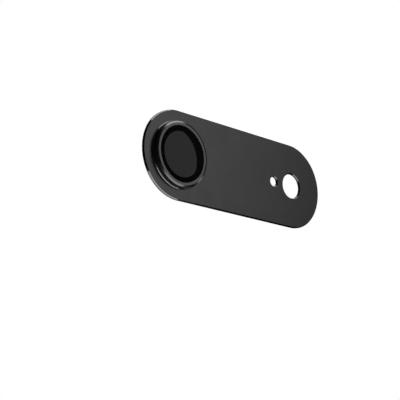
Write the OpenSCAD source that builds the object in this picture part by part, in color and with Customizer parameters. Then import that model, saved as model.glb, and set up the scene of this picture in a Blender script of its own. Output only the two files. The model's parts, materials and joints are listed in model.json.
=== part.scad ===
// Stick-on camera cover for a phone with one lens, a flash and a microphone.
// A thin pill-shaped metal plate carries a raised lens collar with its own cover
// glass, and a foam pad behind the plate holds it to the phone.
// It stands upright: X runs along the plate, Z is up, the front looks along -Y,
// and the origin is the centre of the sticky back face, at Y = 0.

/* [Plate] */
// Overall length of the plate
plate_l = 67.4; // [62:0.1:72]
// Overall height of the plate, also the diameter of its round ends
plate_h = 24.1; // [23:0.1:26]
// Thickness of the plate
plate_t = 0.65; // [0.5:0.05:1]
// Polished bevel around the front edge
plate_bevel = 0.3; // [0.1:0.05:0.35]
// Small edge break around the back edge
back_bevel = 0.05; // [0.02:0.01:0.12]

/* [Lens collar] */
// Lens axis, measured from the middle of the plate
lens_x = -21.6; // [-22:0.1:-21]
// Outer radius of the collar
collar_r = 8.75; // [8.7:0.05:8.9]
// Height of the collar above the front of the plate
collar_h = 1.5; // [1.4:0.05:2]
// Width of the polished bevel around the top of the collar
collar_bevel_w = 0.5; // [0.2:0.05:0.6]
// Drop of that bevel from the collar's top to its wall
collar_bevel_d = 0.15; // [0.1:0.05:0.3]
// Radius of the thin flange that rests on the plate
flange_r = 9.1; // [9.05:0.05:9.4]
// Thickness of that flange
flange_t = 0.2; // [0.2:0.05:0.3]
// Radius of the pocket that goes over the phone's camera ring
camera_r = 7.8; // [7.6:0.05:8.1]
// Depth of that pocket, from the sticky face
camera_d = 1.9; // [1.7:0.05:1.9]

/* [Glass] */
// Radius of the cover glass
glass_r = 7.5; // [7.2:0.05:7.6]
// Thickness of the cover glass
glass_t = 0.3; // [0.25:0.05:0.6]
// Radius of the clear window inside the printed border
window_r = 6.1; // [5.5:0.1:6.4]
// Depth of the glass below the top of the collar
glass_recess = 0.06; // [0.02:0.01:0.1]

/* [Holes] */
// Flash hole, measured from the middle of the plate
flash_x = 21.9; // [21:0.1:22.5]
// Radius of the flash hole
flash_r = 3.5; // [3:0.1:3.8]
// Microphone hole, measured from the middle of the plate
mic_x = 14.6; // [13.5:0.1:15]
// Radius of the microphone hole
mic_r = 1.35; // [1:0.05:1.6]
// Width of the polished bevel around both holes
hole_bevel_w = 0.25; // [0.1:0.05:0.3]
// Drop of that bevel from the plate's front
hole_bevel_d = 0.15; // [0.05:0.05:0.25]

/* [Pad] */
// Thickness of the whole pad
pad_t = 1.0; // [0.6:0.05:1.2]
// Thickness of the glue film on each side of the foam
film_t = 0.1; // [0.05:0.01:0.15]
// How far the pad stops short of the plate's edge
pad_inset = 1.2; // [1.1:0.1:2]
// Gap between the pad and the collar
pad_gap = 0.4; // [0.2:0.05:0.6]
// How much wider the pad's slot is than the flash and microphone holes
slot_margin = 1.4; // [1.1:0.1:2]

/* [Hidden] */
$fn = 180;
over = 0.2;                             // how far a cutter runs past a face
bond_gap = 0.1;                         // glue gap between collar and plate
edge_gap = 0.05;                        // gap around the edge of the glass
back_gap = 0.1;                         // collar's back above the sticky face
flange_bevel = 0.15;
lip_bevel = 0.05;                       // bevel inside the collar's top edge
glass_bevel = 0.08;
ink_t = 0.03;                           // printed border under the glass
bond_t = 0.06;                          // glue ring under the printed border
ledge_gap = 0.05;                       // glue ring stops short of the ledge
back_z = pad_t;                         // heights above the sticky face
face_z = back_z + plate_t;
collar_top = face_z + collar_h;
glass_top = collar_top - glass_recess;
glass_z = glass_top - glass_t;
ink_z = glass_z - ink_t;
ledge_z = ink_z - bond_t;
ledge_r = window_r + 0.4;
seat_r = glass_r + edge_gap;
bore_r = collar_r + bond_gap;
slot_left = mic_x - mic_r - slot_margin;
slot_right = flash_x + flash_r + slot_margin;
slot_l = slot_right - slot_left;
slot_h = 2 * (flash_r + slot_margin);

// Parts are drawn lying on the sticky face, then stood up to face forwards.
module stand() {
    rotate([90, 0, 0]) children();
}

// Stands a part at the lens axis.
module at_lens() {
    stand() translate([lens_x, 0, 0]) children();
}

// A pill of length l and height h between two heights, with a bevel at each end.
module pill(l, h, low, high, low_bevel = 0, high_bevel = 0) {
    r = h / 2;
    straight = l - h;
    half = [[0, low], [r - low_bevel, low], [r, low + low_bevel],
            [r, high - high_bevel], [r - high_bevel, high], [0, high]];
    translate([-straight / 2, 0, 0]) rotate([90, 0, 90]) linear_extrude(straight) {
        polygon(half);
        mirror([1, 0]) polygon(half);
    }
    for (side = [-1, 1]) {
        translate([side * straight / 2, 0, 0]) rotate_extrude() polygon(half);
    }
}

// A plain ring between two radii and two heights.
module ring(inner, outer, low, high) {
    difference() {
        translate([0, 0, low]) cylinder(h = high - low, r = outer);
        translate([0, 0, low - over]) cylinder(h = high - low + 2 * over, r = inner);
    }
}

// A straight hole right through the plate.
module through_hole(x, r) {
    translate([x, 0, back_z - over]) cylinder(h = plate_t + 2 * over, r = r);
}

// A through hole with a bevel at the front. The bevel's cone runs on past the face.
module bevelled_hole(x, r) {
    stretch = (hole_bevel_d + over) / hole_bevel_d;
    through_hole(x, r);
    translate([x, 0, face_z - hole_bevel_d]) {
        cylinder(h = hole_bevel_d * stretch, r1 = r, r2 = r + hole_bevel_w * stretch);
    }
}

module cover_plate() {
    color([0.25, 0.25, 0.26]) stand() difference() {
        pill(plate_l, plate_h, back_z, face_z, back_bevel, plate_bevel);
        through_hole(lens_x, bore_r);
        bevelled_hole(flash_x, flash_r);
        bevelled_hole(mic_x, mic_r);
    }
}

module lens_collar() {
    color([0.12, 0.12, 0.13]) at_lens() rotate_extrude() polygon([
        [camera_r, back_gap],
        [collar_r, back_gap],
        [collar_r, face_z],
        [flange_r, face_z],
        [flange_r, face_z + flange_t - flange_bevel],
        [flange_r - flange_bevel, face_z + flange_t],
        [collar_r, face_z + flange_t],
        [collar_r, collar_top - collar_bevel_d],
        [collar_r - collar_bevel_w, collar_top],
        [seat_r + lip_bevel, collar_top],
        [seat_r, collar_top - lip_bevel],
        [seat_r, ledge_z],
        [ledge_r, ledge_z],
        [ledge_r, camera_d],
        [camera_r, camera_d]
    ]);
}

module collar_bond() {
    color([0.6, 0.58, 0.5]) at_lens() ring(collar_r, bore_r, back_z, face_z);
}

module cover_glass() {
    color([0.18, 0.18, 0.19, 0.6]) at_lens() rotate_extrude() polygon([
        [0, glass_z],
        [glass_r, glass_z],
        [glass_r, glass_top - glass_bevel],
        [glass_r - glass_bevel, glass_top],
        [0, glass_top]
    ]);
}

module glass_border() {
    color([0.01, 0.01, 0.01]) at_lens() ring(window_r, glass_r, ink_z, glass_z);
}

module glass_bond() {
    color([0.7, 0.68, 0.6]) at_lens() ring(ledge_r + ledge_gap, glass_r, ledge_z, ink_z);
}

// One layer of the pad, with a round cut-out for the collar and one slot behind
// the flash and microphone holes.
module pad_layer(low, high) {
    cut_h = high - low + 2 * over;
    stand() difference() {
        pill(plate_l - 2 * pad_inset, plate_h - 2 * pad_inset, low, high);
        translate([lens_x, 0, low - over]) cylinder(h = cut_h, r = collar_r + pad_gap);
        translate([(slot_left + slot_right) / 2, 0, 0]) {
            pill(slot_l, slot_h, low - over, high + over);
        }
    }
}

module pad_front_film() {
    color([0.85, 0.85, 0.8, 0.8]) pad_layer(pad_t - film_t, pad_t);
}

module pad_foam() {
    color([0.08, 0.08, 0.08]) pad_layer(film_t, pad_t - film_t);
}

module pad_back_film() {
    color([0.85, 0.85, 0.8, 0.8]) pad_layer(0, film_t);
}

cover_plate();
lens_collar();
collar_bond();
cover_glass();
glass_border();
glass_bond();
pad_front_film();
pad_foam();
pad_back_film();
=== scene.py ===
"""Builds the looks of a stick-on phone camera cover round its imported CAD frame."""
import json
import math

import bmesh
import bpy
from bpy.props import FloatProperty, FloatVectorProperty, IntProperty, PointerProperty
from mathutils import Matrix, Vector


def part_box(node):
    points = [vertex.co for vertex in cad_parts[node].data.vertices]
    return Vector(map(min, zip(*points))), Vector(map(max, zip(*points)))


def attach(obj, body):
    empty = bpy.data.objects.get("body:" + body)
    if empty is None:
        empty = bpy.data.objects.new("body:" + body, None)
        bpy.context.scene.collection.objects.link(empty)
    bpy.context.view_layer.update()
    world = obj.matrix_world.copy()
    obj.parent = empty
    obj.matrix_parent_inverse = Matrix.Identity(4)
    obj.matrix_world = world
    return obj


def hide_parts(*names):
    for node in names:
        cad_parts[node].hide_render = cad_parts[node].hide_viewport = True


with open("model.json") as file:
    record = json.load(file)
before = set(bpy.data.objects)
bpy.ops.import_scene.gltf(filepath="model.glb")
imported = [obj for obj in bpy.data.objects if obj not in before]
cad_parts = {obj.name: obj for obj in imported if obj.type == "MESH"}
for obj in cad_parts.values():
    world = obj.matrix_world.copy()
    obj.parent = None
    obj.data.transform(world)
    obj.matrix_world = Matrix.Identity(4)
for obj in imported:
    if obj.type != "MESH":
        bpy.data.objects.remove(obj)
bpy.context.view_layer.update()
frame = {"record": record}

bl_info = {
    "name": "Phone Camera Cover",
    "version": (1, 0, 0),
    "blender": (4, 5, 0),
    "location": "View3D > Sidebar > Camera Cover",
    "description": "Builds a pill-shaped phone camera cover with a lens collar",
    "category": "Add Mesh",
}

MM = 0.001
BODY = "root"

SHARP_ANGLE = math.radians(50)      # edges that turn more than this stay sharp
ARC_STEPS = 4                       # straight pieces in the arc at a corner
ARC_REACH = 0.35                    # most of a side that the arc at one end may take
GUARD = 0.6                         # extra points beside an arc, in parts of its cut
NOISE_LOW, NOISE_HIGH = 0.3, 0.7    # noise textures mostly stay between these

# The name, place, width and height, and power of each softbox, in metres and watts.
SOFTBOXES = (
    # the sheen of the plate and of the collar's top
    ("key_softbox", (0.33, -0.465, 0.18), (0.28, 0.30), 0.235),
    # the arc on the upper half of the collar's bevel, and the one on its lower half
    ("upper_strip", (0.305, -0.357, 0.39), (0.27, 0.12), 0.114),
    ("lower_strip", (0.265, -0.53, -0.11), (0.32, 0.12), 0.085),
    # the glints above and below on the right of both holes' bevels
    ("front_low_softbox", (0.14, -0.53, -0.25), (0.50, 0.18), 0.24),
    ("front_top_softbox", (0.25, -0.25, 0.49), (0.36, 0.12), 0.10),
    # the glint on the flange's lower right
    ("side_strip", (0.54, -0.25, 0.01), (0.05, 0.10), 0.012),
    # the arcs round the plate's lens end and the flange, at the top and at the bottom
    ("top_softbox", (0.12, -0.06, 0.60), (0.50, 0.36), 0.60),
    ("low_softbox", (-0.08, -0.05, -0.30), (0.60, 0.60), 1.0),
    # the pad and the camera pocket, from behind
    ("back_softbox", (0.15, 0.50, 0.05), (0.30, 0.30), 1.2),
)


# ---------------------------------------------------------------- frame facts

def mount(name):
    """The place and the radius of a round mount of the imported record, in metres."""
    for entry in frame["record"]["mounts"]:
        if entry["name"] == name:
            return Vector(entry["pos_m"]), entry["dims"]["r_mm"] * MM
    raise RuntimeError(f"the record has no mount named {name}")


def low(node):
    """Lowest corner of a CAD node. Its Y is the node's front."""
    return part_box(node)[0]


def high(node):
    """Highest corner of a CAD node. Its Y is the node's back."""
    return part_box(node)[1]


def half_width(node):
    """Half the width of a CAD node along X: the radius of a round one."""
    return (high(node).x - low(node).x) / 2


LENS_X = (low("lens_collar").x + high("lens_collar").x) / 2


# ---------------------------------------------------------------- settings

def length(label, about, default):
    """A length property in metres."""
    return FloatProperty(name=label, description=about, default=default, min=0.0,
                         precision=6, subtype="DISTANCE", unit="LENGTH")


def share(label, about, default):
    """A property from 0 to 1."""
    return FloatProperty(name=label, description=about, default=default,
                         min=0.0, max=1.0, subtype="FACTOR")


def colour(label, about, default):
    """A linear colour property."""
    return FloatVectorProperty(name=label, description=about, default=default,
                               size=3, min=0.0, max=1.0, subtype="COLOR")


def point(label, about, default):
    """A place in the part's own frame, in metres."""
    return FloatVectorProperty(name=label, description=about, default=default,
                               subtype="TRANSLATION", precision=5)


class CoverShape(bpy.types.PropertyGroup):
    """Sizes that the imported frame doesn't give."""

    rounding: length("Rounding", "Radius that breaks every machined edge", 0.04 * MM)
    plate_bevel: length("Plate bevel", "Polished bevel round the plate's front", 0.3 * MM)
    back_bevel: length("Back bevel", "Edge break round the plate's back", 0.05 * MM)
    hole_bevel: length("Hole bevel", "Width of the bevel round both holes", 0.25 * MM)
    hole_drop: length("Hole bevel drop", "Depth of the bevel round both holes", 0.15 * MM)
    collar_bevel: length("Collar bevel", "Width of the bevel round the collar", 0.5 * MM)
    collar_drop: length("Collar bevel drop", "Depth of that bevel", 0.15 * MM)
    flange: length("Flange", "Thickness of the collar's flange", 0.2 * MM)
    flange_bevel: length("Flange bevel", "Bevel round the flange", 0.15 * MM)
    lip_bevel: length("Lip bevel", "Bevel inside the collar's top edge", 0.05 * MM)
    seat_gap: length("Seat gap", "Gap round the edge of the glass", 0.05 * MM)
    glass_bevel: length("Glass bevel", "Bevel round the cover glass", 0.08 * MM)
    window: length("Window", "Radius of the clear window in the border", 6.1 * MM)
    ledge: length("Ledge", "Inner radius of the ledge under the glass", 6.5 * MM)
    ledge_gap: length("Ledge gap", "Gap from the ledge's edge to its glue", 0.05 * MM)
    bond_gap: length("Bond gap", "Glue gap between the collar and the plate", 0.1 * MM)
    pad_gap: length("Pad gap", "Gap between the pad and the collar", 0.4 * MM)
    slot_margin: length("Slot margin", "How much wider the pad's slot is than the holes",
                        1.4 * MM)
    turns: IntProperty(name="Turns", description="Segments in a full circle",
                       default=256, min=32, max=512)


class CoverFinish(bpy.types.PropertyGroup):
    """Colours and finishes."""

    plate: colour("Plate", "Bead-blasted charcoal metal", (0.10, 0.10, 0.103))
    plate_rough: share("Plate roughness", "Roughness of the blasted face", 0.34)
    grain: length("Grain", "Size of the plate's blasted grain, which the polished "
                  "finishes scale from", 0.16 * MM)
    bevel: colour("Bevels", "Polished metal of the bevels", (0.30, 0.30, 0.305))
    polish: share("Plate bevel roughness", "Roughness of the plate's bevels", 0.10)
    collar_polish: share("Collar bevel roughness", "Roughness of the collar's bevels", 0.16)
    wall: colour("Collar wall", "Gloss black wall of the collar", (0.012, 0.012, 0.013))
    wall_rough: share("Collar wall roughness", "Roughness of that wall", 0.07)
    top: colour("Collar top", "Satin top of the collar", (0.11, 0.11, 0.112))
    top_rough: share("Collar top roughness", "Roughness of that top", 0.272)
    top_grain: length("Collar top grain", "Size of the top's blasted grain", 0.112 * MM)
    glass: colour("Glass", "Smoked cover glass", (0.022, 0.022, 0.023))
    ink: colour("Ink", "Printed border under the glass", (0.0004, 0.0004, 0.0004))
    foam: colour("Foam", "Foam core of the pad", (0.02, 0.02, 0.02))
    film: colour("Film", "Glue film of the pad", (0.05, 0.05, 0.055))
    glue: colour("Glue", "Cured glue", (0.35, 0.33, 0.27))


class CoverStage(bpy.types.PropertyGroup):
    """Camera, floor and lights."""

    lens: FloatProperty(name="Lens", description="Focal length on a 36 mm sensor",
                        default=103.17, min=20.0, max=300.0, subtype="DISTANCE_CAMERA")
    camera_place: point("Camera place", "Where the camera stands",
                        (-0.21389, -0.20864, -0.08576))
    camera_aim: point("Camera aim", "Point that the camera looks at",
                      (-0.01227, 0.00016, -0.00993))
    camera_roll: FloatProperty(name="Camera roll", description="Tilt about the view",
                               default=math.radians(0.072), subtype="ANGLE")
    floor_drop: length("Floor drop", "Depth of the floor below the origin", 0.139)
    floor_size: length("Floor size", "Half the width of the floor", 3.0)
    floor: colour("Floor", "Pale studio floor", (0.80, 0.80, 0.80))
    floor_glow: share("Floor glow", "Light that the floor gives off itself", 0.85)
    backdrop: colour("Backdrop", "White studio backdrop", (1.0, 1.0, 1.0))
    gloom: colour("Gloom", "Dim light of the dark studio round the lights",
                  (0.007, 0.007, 0.0074))


# ---------------------------------------------------------------- mesh tools

def rounded(points, radius, closed=False):
    """A profile with each corner turned into an arc, and two guard points on the
    straights beside each arc, so that their shading stays flat."""
    count = len(points)
    corners = range(count) if closed else range(1, count - 1)
    out = []
    for i in range(count):
        here = Vector(points[i])
        if i not in corners:
            out.append(here)
            continue
        back = Vector(points[i - 1]) - here
        ahead = Vector(points[(i + 1) % count]) - here
        turn = math.pi - back.angle(ahead)
        cut = min(radius * math.tan(turn / 2), back.length * ARC_REACH,
                  ahead.length * ARC_REACH)
        bend = cut / math.tan(turn / 2)
        start = here + back.normalized() * cut
        finish = here + ahead.normalized() * cut
        inward = (back.normalized() + ahead.normalized()).normalized()
        middle = here + inward * (bend / math.cos(turn / 2))
        out.append(start + back.normalized() * cut * GUARD)
        for step in range(ARC_STEPS + 1):
            along = start.lerp(finish, step / ARC_STEPS)
            out.append(middle + (along - middle).normalized() * bend)
        out.append(finish + ahead.normalized() * cut * GUARD)
    return out


def circle_loop(bm, x, radius, y, turns):
    """Vertices of a circle facing along Y."""
    loop = []
    for i in range(turns):
        angle = math.tau * i / turns
        loop.append(bm.verts.new((x + radius * math.cos(angle), y,
                                  radius * math.sin(angle))))
    return loop


def pill_loop(bm, x, half_length, radius, inset, y, turns):
    """Vertices of a pill outline facing along Y, drawn in by inset."""
    loop = []
    shift = half_length - radius
    for side in (1, -1):
        for i in range(turns // 2 + 1):
            angle = -math.pi / 2 + math.tau * i / turns
            loop.append(bm.verts.new((
                x + side * (shift + (radius - inset) * math.cos(angle)), y,
                side * (radius - inset) * math.sin(angle))))
    return loop


def bridge(bm, loops, paint=None, closed=False):
    """Quads between each loop and the next. paint names the material of each band."""
    pairs = list(zip(loops, loops[1:]))
    if closed:
        pairs.append((loops[-1], loops[0]))
    for band, (first, second) in enumerate(pairs):
        count = len(first)
        for i in range(count):
            j = (i + 1) % count
            face = bm.faces.new((first[i], first[j], second[j], second[i]))
            face.material_index = paint[band] if paint else 0


def cap(bm, loops):
    """Fills the flat region between the first loop and the loops inside it."""
    edges = []
    for loop in loops:
        for i, vert in enumerate(loop):
            edges.append(bm.edges.get((vert, loop[(i + 1) % len(loop)])))
    bmesh.ops.triangle_fill(bm, use_beauty=True, use_dissolve=False, edges=edges)


def band_paint(points, rule):
    """The material index of each band of a profile, from the middle of the band."""
    following = points[1:] + points[:1]
    return [rule((first + second) / 2) for first, second in zip(points, following)]


def finish_piece(bm, name, materials, node):
    """Turns a bmesh into a smooth piece that stands for a CAD node."""
    bmesh.ops.recalc_face_normals(bm, faces=bm.faces[:])
    mesh = bpy.data.meshes.new(name)
    bm.to_mesh(mesh)
    bm.free()
    for face in mesh.polygons:
        face.use_smooth = True
    mesh.set_sharp_from_angle(angle=SHARP_ANGLE)
    for material in materials:
        mesh.materials.append(material)
    piece = bpy.data.objects.new(name, mesh)
    bpy.context.scene.collection.objects.link(piece)
    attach(piece, BODY)
    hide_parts(node)


def lathe(points, name, materials, node, turns, paint=None, solid=False):
    """Turns a profile of (radius, y) points about the lens axis. A solid one starts
    and ends on the axis, and the others are closed rings."""
    bm = bmesh.new()
    rims = points[1:-1] if solid else points
    loops = [circle_loop(bm, LENS_X, radius, y, turns) for radius, y in rims]
    bridge(bm, loops, paint, closed=not solid)
    if solid:
        for loop, end in ((loops[0], points[0]), (loops[-1], points[-1])):
            centre = bm.verts.new((LENS_X, end[1], 0.0))
            for i in range(turns):
                bm.faces.new((loop[i], loop[(i + 1) % turns], centre))
    finish_piece(bm, name, materials, node)


def flat_ring(inner, name, material, node, turns):
    """A plain ring round the lens axis, from an inner radius out to its CAD node's
    own edge and as thick as the node."""
    outer = half_width(node)
    front, back = low(node).y, high(node).y
    lathe([(inner, front), (outer, front), (outer, back), (inner, back)],
          name, [material], node, turns)


# ---------------------------------------------------------------- materials

class Recipe:
    """A node material under construction."""

    def __init__(self, name):
        self.material = bpy.data.materials.new(name)
        self.material.use_nodes = True
        self.tree = self.material.node_tree
        self.shader = self.tree.nodes["Principled BSDF"]

    def set(self, **values):
        """Sets sockets of the shader, with _ for each space in a socket's name."""
        for key, value in values.items():
            self.shader.inputs[key.replace("_", " ")].default_value = value

    def node(self, kind, inputs=None):
        """A new node with some of its sockets set."""
        made = self.tree.nodes.new(kind)
        for key, value in (inputs or {}).items():
            made.inputs[key].default_value = value
        return made

    def link(self, source, output, target, socket):
        """A link from one node's output to another's socket."""
        self.tree.links.new(source.outputs[output], target.inputs[socket])

    def texture(self, kind, inputs):
        """A texture node in object space."""
        place = self.node("ShaderNodeTexCoord")
        made = self.node(kind, inputs)
        self.link(place, "Object", made, "Vector")
        return made

    def noise(self, size, detail=2.0, rough=0.5):
        """Noise whose cells are about size across."""
        return self.texture("ShaderNodeTexNoise",
                            {"Scale": 1 / size, "Detail": detail, "Roughness": rough})

    def cells(self, size):
        """Round cells about size across."""
        return self.texture("ShaderNodeTexVoronoi", {"Scale": 1 / size})

    def tint(self, base, source, amount):
        """Base colour that follows a texture, by amount to either side of base."""
        ramp = self.node("ShaderNodeValToRGB")
        ends = zip((NOISE_LOW, NOISE_HIGH), (1 - amount, 1 + amount),
                   ramp.color_ramp.elements)
        for place, factor, end in ends:
            end.position = place
            end.color = (*[part * factor for part in base], 1)
        self.link(source, 0, ramp, "Fac")
        self.link(ramp, "Color", self.shader, "Base Color")

    def roughen(self, source, smoothest, roughest):
        """Roughness that follows a texture between two values."""
        made = self.node("ShaderNodeMapRange",
                         {"From Min": NOISE_LOW, "From Max": NOISE_HIGH,
                          "To Min": smoothest, "To Max": roughest})
        self.link(source, 0, made, "Value")
        self.link(made, 0, self.shader, "Roughness")

    def bumps(self, sources, distance, strength):
        """Chains height maps into the shader's normal."""
        last = None
        for source in sources:
            made = self.node("ShaderNodeBump",
                             {"Distance": distance, "Strength": strength})
            self.link(source, 0, made, "Height")
            if last:
                self.link(last, "Normal", made, "Normal")
            last = made
        self.link(last, "Normal", self.shader, "Normal")


def blasted_metal(name, base, roughness, grain):
    """Bead-blasted, anodised aluminium: a fine pebbled grain over faint clouds."""
    recipe = Recipe(name)
    recipe.set(Metallic=1.0)
    fine = recipe.noise(grain, detail=3.0, rough=0.6)
    cloud = recipe.noise(grain * 40)
    recipe.tint(base, fine, amount=0.12)
    recipe.roughen(cloud, roughness - 0.02, roughness + 0.02)
    recipe.bumps([fine], distance=grain * 0.05, strength=0.5)
    return recipe.material


def polished_metal(name, base, roughness, grain):
    """Diamond-cut bevel: bright, with a trace of tool marks."""
    recipe = Recipe(name)
    recipe.set(Metallic=1.0)
    marks = recipe.noise(grain * 2)
    recipe.tint(base, marks, amount=0.05)
    recipe.roughen(marks, roughness * 0.8, roughness * 1.2)
    return recipe.material


def gloss_black(name, base, roughness, grain):
    """Gloss black anodised wall whose colour and gloss vary a little."""
    recipe = Recipe(name)
    recipe.set(Metallic=0.0, IOR=1.5)
    patches = recipe.noise(grain * 3)
    recipe.tint(base, patches, amount=0.08)
    recipe.roughen(patches, roughness * 0.8, roughness * 1.2)
    return recipe.material


def smoked_glass(name, base):
    """Smoked glass. Its low IOR stands in for an anti-reflective coat, so that little
    glints off it."""
    recipe = Recipe(name)
    recipe.set(Metallic=0.0, IOR=1.12, Roughness=0.0, Specular_IOR_Level=0.05,
               Specular_Tint=(0.0, 0.0, 0.0, 1.0), Transmission_Weight=1.0)
    haze = recipe.noise(2.5 * MM, detail=1.0)
    recipe.tint(base, haze, amount=0.02)
    return recipe.material


def ink_layer(name, base):
    """Dense black ink seen through coated glass."""
    recipe = Recipe(name)
    recipe.set(Metallic=0.0, Roughness=0.6, Specular_IOR_Level=0.02)
    speckle = recipe.noise(0.1 * MM, detail=1.0)
    recipe.tint(base, speckle, amount=0.2)
    return recipe.material


def glue_film(name, base):
    """Tacky acrylic film: slightly glossy with shallow ripples."""
    recipe = Recipe(name)
    recipe.set(Metallic=0.0)
    ripple = recipe.noise(1.2 * MM, detail=3.0)
    fine = recipe.noise(0.25 * MM)
    recipe.tint(base, ripple, amount=0.1)
    recipe.roughen(fine, 0.32, 0.45)
    recipe.bumps([ripple, fine], distance=0.006 * MM, strength=0.4)
    return recipe.material


def foam_core(name, base):
    """Closed-cell foam: matte, with small cells that were cut open."""
    recipe = Recipe(name)
    recipe.set(Metallic=0.0, Roughness=0.9, Specular_IOR_Level=0.2)
    cells = recipe.cells(0.12 * MM)
    recipe.tint(base, cells, amount=0.3)
    recipe.bumps([cells], distance=0.03 * MM, strength=0.6)
    return recipe.material


def cured_glue(name, base):
    """Cured glue line: dull amber with a slight variation."""
    recipe = Recipe(name)
    recipe.set(Metallic=0.0, Roughness=0.5)
    cloud = recipe.noise(0.4 * MM)
    recipe.tint(base, cloud, amount=0.15)
    return recipe.material


# ---------------------------------------------------------------- operators

class COVER_OT_plate(bpy.types.Operator):
    """Build the thin pill-shaped plate with its bevels and holes"""

    bl_idname = "cover.plate"
    bl_label = "Cover Plate"

    FACE, BEVEL = range(2)          # material indices

    def execute(self, context):
        shape = context.scene.cover_shape
        looks = context.scene.cover_finish
        face_y = low("cover_plate").y
        back_y = high("cover_plate").y
        half_length = half_width("cover_plate")
        radius = high("cover_plate").z

        def finish_at(middle):
            bevelled = middle.x < shape.plate_bevel and middle.y > face_y
            return self.BEVEL if bevelled else self.FACE

        edge = rounded([
            (2 * shape.plate_bevel, face_y),
            (shape.plate_bevel, face_y),
            (0.0, face_y + shape.plate_bevel),
            (0.0, back_y - shape.back_bevel),
            (shape.back_bevel, back_y),
            (2 * shape.back_bevel, back_y),
        ], shape.rounding)
        bm = bmesh.new()
        outer = [pill_loop(bm, 0.0, half_length, radius, inset, y, shape.turns)
                 for inset, y in edge]
        bridge(bm, outer, band_paint(edge, finish_at))
        fronts, backs = [outer[0]], [outer[-1]]
        for name in ("flash_hole", "mic_hole"):
            place, hole_radius = mount(name)
            self.hole(bm, shape, place.x, hole_radius, shape.hole_bevel,
                      shape.hole_drop, fronts, backs)
        self.hole(bm, shape, LENS_X, half_width("collar_bond"), shape.rounding,
                  shape.rounding, fronts, backs)
        cap(bm, fronts)
        cap(bm, backs)
        finish_piece(bm, "blasted_plate", [
            blasted_metal("charcoal_blasted", looks.plate, looks.plate_rough, looks.grain),
            polished_metal("charcoal_polished", looks.bevel, looks.polish, looks.grain),
        ], "cover_plate")
        return {"FINISHED"}

    def hole(self, bm, shape, x, radius, bevel, drop, fronts, backs):
        """The wall of a through hole, with a polished bevel at the front. Its first
        and last loops are added to fronts and backs, for the caps."""
        face_y = low("cover_plate").y
        back_y = high("cover_plate").y

        def finish_at(middle):
            bevelled = middle.x < radius + bevel and face_y < middle.y < face_y + drop
            return self.BEVEL if bevelled else self.FACE

        wall = rounded([
            (radius + 2 * bevel, face_y),
            (radius + bevel, face_y),
            (radius, face_y + drop),
            (radius, back_y),
            (radius + bevel, back_y),
        ], shape.rounding)
        loops = [circle_loop(bm, x, r, y, shape.turns // 2) for r, y in wall]
        bridge(bm, loops, band_paint(wall, finish_at))
        fronts.append(loops[0])
        backs.append(loops[-1])


class COVER_OT_collar(bpy.types.Operator):
    """Turn the lens collar, with its flange, glass seat and camera pocket"""

    bl_idname = "cover.collar"
    bl_label = "Lens Collar"

    WALL, TOP, BEVEL = range(3)     # material indices

    def execute(self, context):
        shape = context.scene.cover_shape
        looks = context.scene.cover_finish
        top = low("lens_collar").y
        back = high("lens_collar").y
        plate_face = low("cover_plate").y
        flange_face = plate_face - shape.flange
        flange = half_width("lens_collar")
        wall = half_width("collar_bond") - shape.bond_gap
        seat = half_width("cover_glass") + shape.seat_gap
        ledge_front = high("glass_bond").y
        # the mount is halfway along the pocket, from the collar's back to the ledge
        pocket_middle, pocket = mount("camera_pocket")
        ledge_back = 2 * pocket_middle.y - back
        points = rounded([
            (pocket, back),
            (wall, back),
            (wall, plate_face),
            (flange, plate_face),
            (flange, flange_face + shape.flange_bevel),
            (flange - shape.flange_bevel, flange_face),
            (wall, flange_face),
            (wall, top + shape.collar_drop),
            (wall - shape.collar_bevel, top),
            (seat + shape.lip_bevel, top),
            (seat, top + shape.lip_bevel),
            (seat, ledge_front),
            (shape.ledge, ledge_front),
            (shape.ledge, ledge_back),
            (pocket, ledge_back),
        ], shape.rounding, closed=True)
        slack = shape.rounding / 2

        def finish_at(middle):
            if middle.x > flange - shape.flange_bevel - slack and middle.y < plate_face:
                return self.BEVEL
            if middle.x > wall - shape.collar_bevel + slack:
                return self.BEVEL if middle.y < top + shape.collar_drop else self.WALL
            return self.TOP if middle.y < top + shape.lip_bevel else self.WALL

        lathe(points, "turned_collar", [
            gloss_black("collar_gloss_black", looks.wall, looks.wall_rough, looks.grain),
            blasted_metal("collar_satin", looks.top, looks.top_rough, looks.top_grain),
            polished_metal("collar_polished", looks.bevel, looks.collar_polish,
                           looks.grain),
        ], "lens_collar", shape.turns, band_paint(points, finish_at))
        return {"FINISHED"}


class COVER_OT_glass(bpy.types.Operator):
    """Turn the cover glass and the black border printed under its edge"""

    bl_idname = "cover.glass"
    bl_label = "Cover Glass"

    def execute(self, context):
        shape = context.scene.cover_shape
        looks = context.scene.cover_finish
        radius = half_width("cover_glass")
        top = low("cover_glass").y
        under = high("cover_glass").y
        points = rounded([
            (0.0, top),
            (radius - shape.glass_bevel, top),
            (radius, top + shape.glass_bevel),
            (radius, under),
            (0.0, under),
        ], shape.rounding)
        lathe(points, "coated_glass", [smoked_glass("coated_smoked_glass", looks.glass)],
              "cover_glass", shape.turns, solid=True)
        flat_ring(shape.window, "printed_border", ink_layer("border_black_ink", looks.ink),
                  "glass_border", shape.turns)
        return {"FINISHED"}


class COVER_OT_glue(bpy.types.Operator):
    """Build the two glue rings that hold the glass and the collar"""

    bl_idname = "cover.glue"
    bl_label = "Glue Rings"

    def execute(self, context):
        shape = context.scene.cover_shape
        glue = cured_glue("cured_glue_line", context.scene.cover_finish.glue)
        flat_ring(half_width("collar_bond") - shape.bond_gap, "collar_glue_ring", glue,
                  "collar_bond", shape.turns)
        flat_ring(shape.ledge + shape.ledge_gap, "glass_glue_ring", glue,
                  "glass_bond", shape.turns)
        return {"FINISHED"}


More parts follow.
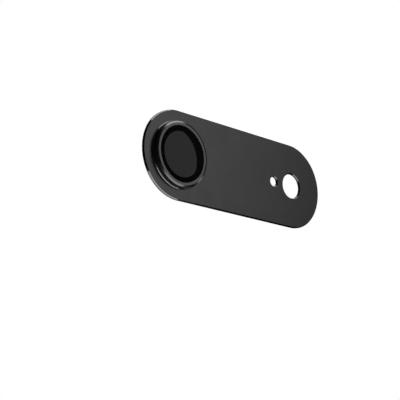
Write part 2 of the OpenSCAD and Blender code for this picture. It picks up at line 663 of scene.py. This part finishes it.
class COVER_OT_pad(bpy.types.Operator):
    """Build the mounting pad: a foam core between two glue films"""

    bl_idname = "cover.pad"
    bl_label = "Mounting Pad"

    def execute(self, context):
        shape = context.scene.cover_shape
        looks = context.scene.cover_finish
        film = glue_film("acrylic_film", looks.film)
        foam = foam_core("closed_cell_foam", looks.foam)
        self.layer(shape, "front_glue_film", "pad_front_film", film, "glue_film")
        self.layer(shape, "foam_sheet", "pad_foam", foam, "foam")
        self.layer(shape, "back_glue_film", "pad_back_film", film, "glue_film")
        return {"FINISHED"}

    def layer(self, shape, name, node, material, slot_name):
        """One layer of the pad, with a round cut-out for the collar and a slot behind
        the flash and microphone holes."""
        turns = shape.turns
        collar = half_width("collar_bond") - shape.bond_gap
        flash, flash_radius = mount("flash_hole")
        mic, mic_radius = mount("mic_hole")
        left = mic.x - mic_radius - shape.slot_margin
        right = flash.x + flash_radius + shape.slot_margin
        bm = bmesh.new()
        faces = []
        for y in (low(node).y, high(node).y):
            faces.append((
                pill_loop(bm, 0.0, half_width(node), high(node).z, 0.0, y, turns),
                circle_loop(bm, LENS_X, collar + shape.pad_gap, y, turns),
                pill_loop(bm, (left + right) / 2, (right - left) / 2,
                          flash_radius + shape.slot_margin, 0.0, y, turns),
            ))
        for walls in zip(*faces):
            bridge(bm, walls)
        for loops in faces:
            cap(bm, loops)
        finish_piece(bm, name, [material], node)


class COVER_OT_stage(bpy.types.Operator):
    """Set up the floor, the backdrop, the softboxes and the camera"""

    bl_idname = "cover.stage"
    bl_label = "Studio"

    def execute(self, context):
        stage = context.scene.cover_stage
        self.floor(context, stage)
        self.world(context, stage)
        for name, place, size, power in SOFTBOXES:
            self.softbox(context, name, place, size, power)
        self.camera(context, stage)
        context.scene.view_settings.view_transform = "Standard"
        return {"FINISHED"}

    def floor(self, context, stage):
        """A wide pale floor that the part neither mirrors nor takes light from."""
        bm = bmesh.new()
        bmesh.ops.create_grid(bm, x_segments=1, y_segments=1, size=stage.floor_size)
        mesh = bpy.data.meshes.new("studio_floor")
        bm.to_mesh(mesh)
        bm.free()
        recipe = Recipe("pale_floor")
        recipe.set(Roughness=0.9, Specular_IOR_Level=0.1,
                   Emission_Strength=stage.floor_glow, Emission_Color=(*stage.floor, 1))
        cloud = recipe.noise(0.4)
        recipe.tint(stage.floor, cloud, amount=0.01)
        mesh.materials.append(recipe.material)
        floor = bpy.data.objects.new("studio_floor", mesh)
        floor.location.z = -stage.floor_drop
        floor.visible_glossy = False
        floor.visible_diffuse = False
        floor.visible_shadow = False
        context.scene.collection.objects.link(floor)

    def world(self, context, stage):
        """White behind the object and through its glass, and a dim studio in its
        reflections."""
        world = bpy.data.worlds.new("studio_world")
        world.use_nodes = True
        context.scene.world = world
        tree = world.node_tree
        tree.nodes.clear()
        white = tree.nodes.new("ShaderNodeBackground")
        white.inputs["Color"].default_value = (*stage.backdrop, 1)
        dim = tree.nodes.new("ShaderNodeBackground")
        dim.inputs["Color"].default_value = (*stage.gloom, 1)
        path = tree.nodes.new("ShaderNodeLightPath")
        through = tree.nodes.new("ShaderNodeMath")
        through.operation = "MAXIMUM"
        mix = tree.nodes.new("ShaderNodeMixShader")
        out = tree.nodes.new("ShaderNodeOutputWorld")
        tree.links.new(path.outputs["Is Camera Ray"], through.inputs[0])
        tree.links.new(path.outputs["Is Transmission Ray"], through.inputs[1])
        tree.links.new(through.outputs[0], mix.inputs[0])
        tree.links.new(dim.outputs[0], mix.inputs[1])
        tree.links.new(white.outputs[0], mix.inputs[2])
        tree.links.new(mix.outputs[0], out.inputs["Surface"])

    def softbox(self, context, name, place, size, power):
        """A rectangular light that faces the origin. It shows in reflections, but not
        directly or through the glass."""
        data = bpy.data.lights.new(name, "AREA")
        data.shape = "RECTANGLE"
        data.size, data.size_y = size
        data.energy = power
        light = bpy.data.objects.new(name, data)
        light.location = place
        light.rotation_mode = "QUATERNION"
        light.rotation_quaternion = (-Vector(place)).to_track_quat("-Z", "Y")
        light.visible_camera = False
        light.visible_transmission = False
        context.scene.collection.objects.link(light)

    def camera(self, context, stage):
        """The camera, turned to its aim and then rolled about its view."""
        data = bpy.data.cameras.new("studio_camera")
        data.lens = stage.lens
        data.sensor_width = 36.0
        data.clip_start, data.clip_end = 0.001, 20.0
        camera = bpy.data.objects.new("studio_camera", data)
        place = Vector(stage.camera_place)
        aim = Vector(stage.camera_aim)
        camera.location = place
        camera.rotation_mode = "QUATERNION"
        look = (aim - place).to_track_quat("-Z", "Y").to_matrix()
        roll = Matrix.Rotation(stage.camera_roll, 3, "Z")
        camera.rotation_quaternion = (look @ roll).to_quaternion()
        context.scene.collection.objects.link(camera)
        context.scene.camera = camera


class COVER_PT_panel(bpy.types.Panel):
    """Lists the settings and the steps"""

    bl_idname = "COVER_PT_panel"
    bl_label = "Camera Cover"
    bl_space_type = "VIEW_3D"
    bl_region_type = "UI"
    bl_category = "Camera Cover"

    def draw(self, context):
        for title, group in (("Shape", context.scene.cover_shape),
                             ("Finish", context.scene.cover_finish),
                             ("Studio", context.scene.cover_stage)):
            box = self.layout.box()
            box.label(text=title)
            for name in group.__annotations__:
                box.prop(group, name)
        for step in STEPS:
            self.layout.operator(step.bl_idname)


GROUPS = {"cover_shape": CoverShape, "cover_finish": CoverFinish,
          "cover_stage": CoverStage}
STEPS = (COVER_OT_plate, COVER_OT_collar, COVER_OT_glass, COVER_OT_glue, COVER_OT_pad,
         COVER_OT_stage)
CLASSES = (*GROUPS.values(), *STEPS, COVER_PT_panel)


def register():
    """Adds the settings, the steps and the panel to Blender."""
    for kind in CLASSES:
        bpy.utils.register_class(kind)
    for name, group in GROUPS.items():
        setattr(bpy.types.Scene, name, PointerProperty(type=group))


def unregister():
    """Takes them away again."""
    for name in GROUPS:
        delattr(bpy.types.Scene, name)
    for kind in reversed(CLASSES):
        bpy.utils.unregister_class(kind)


def main():
    """Builds every piece and the stage."""
    register()
    bpy.ops.cover.plate()
    bpy.ops.cover.collar()
    bpy.ops.cover.glass()
    bpy.ops.cover.glue()
    bpy.ops.cover.pad()
    bpy.ops.cover.stage()


if __name__ == "__main__":
    main()
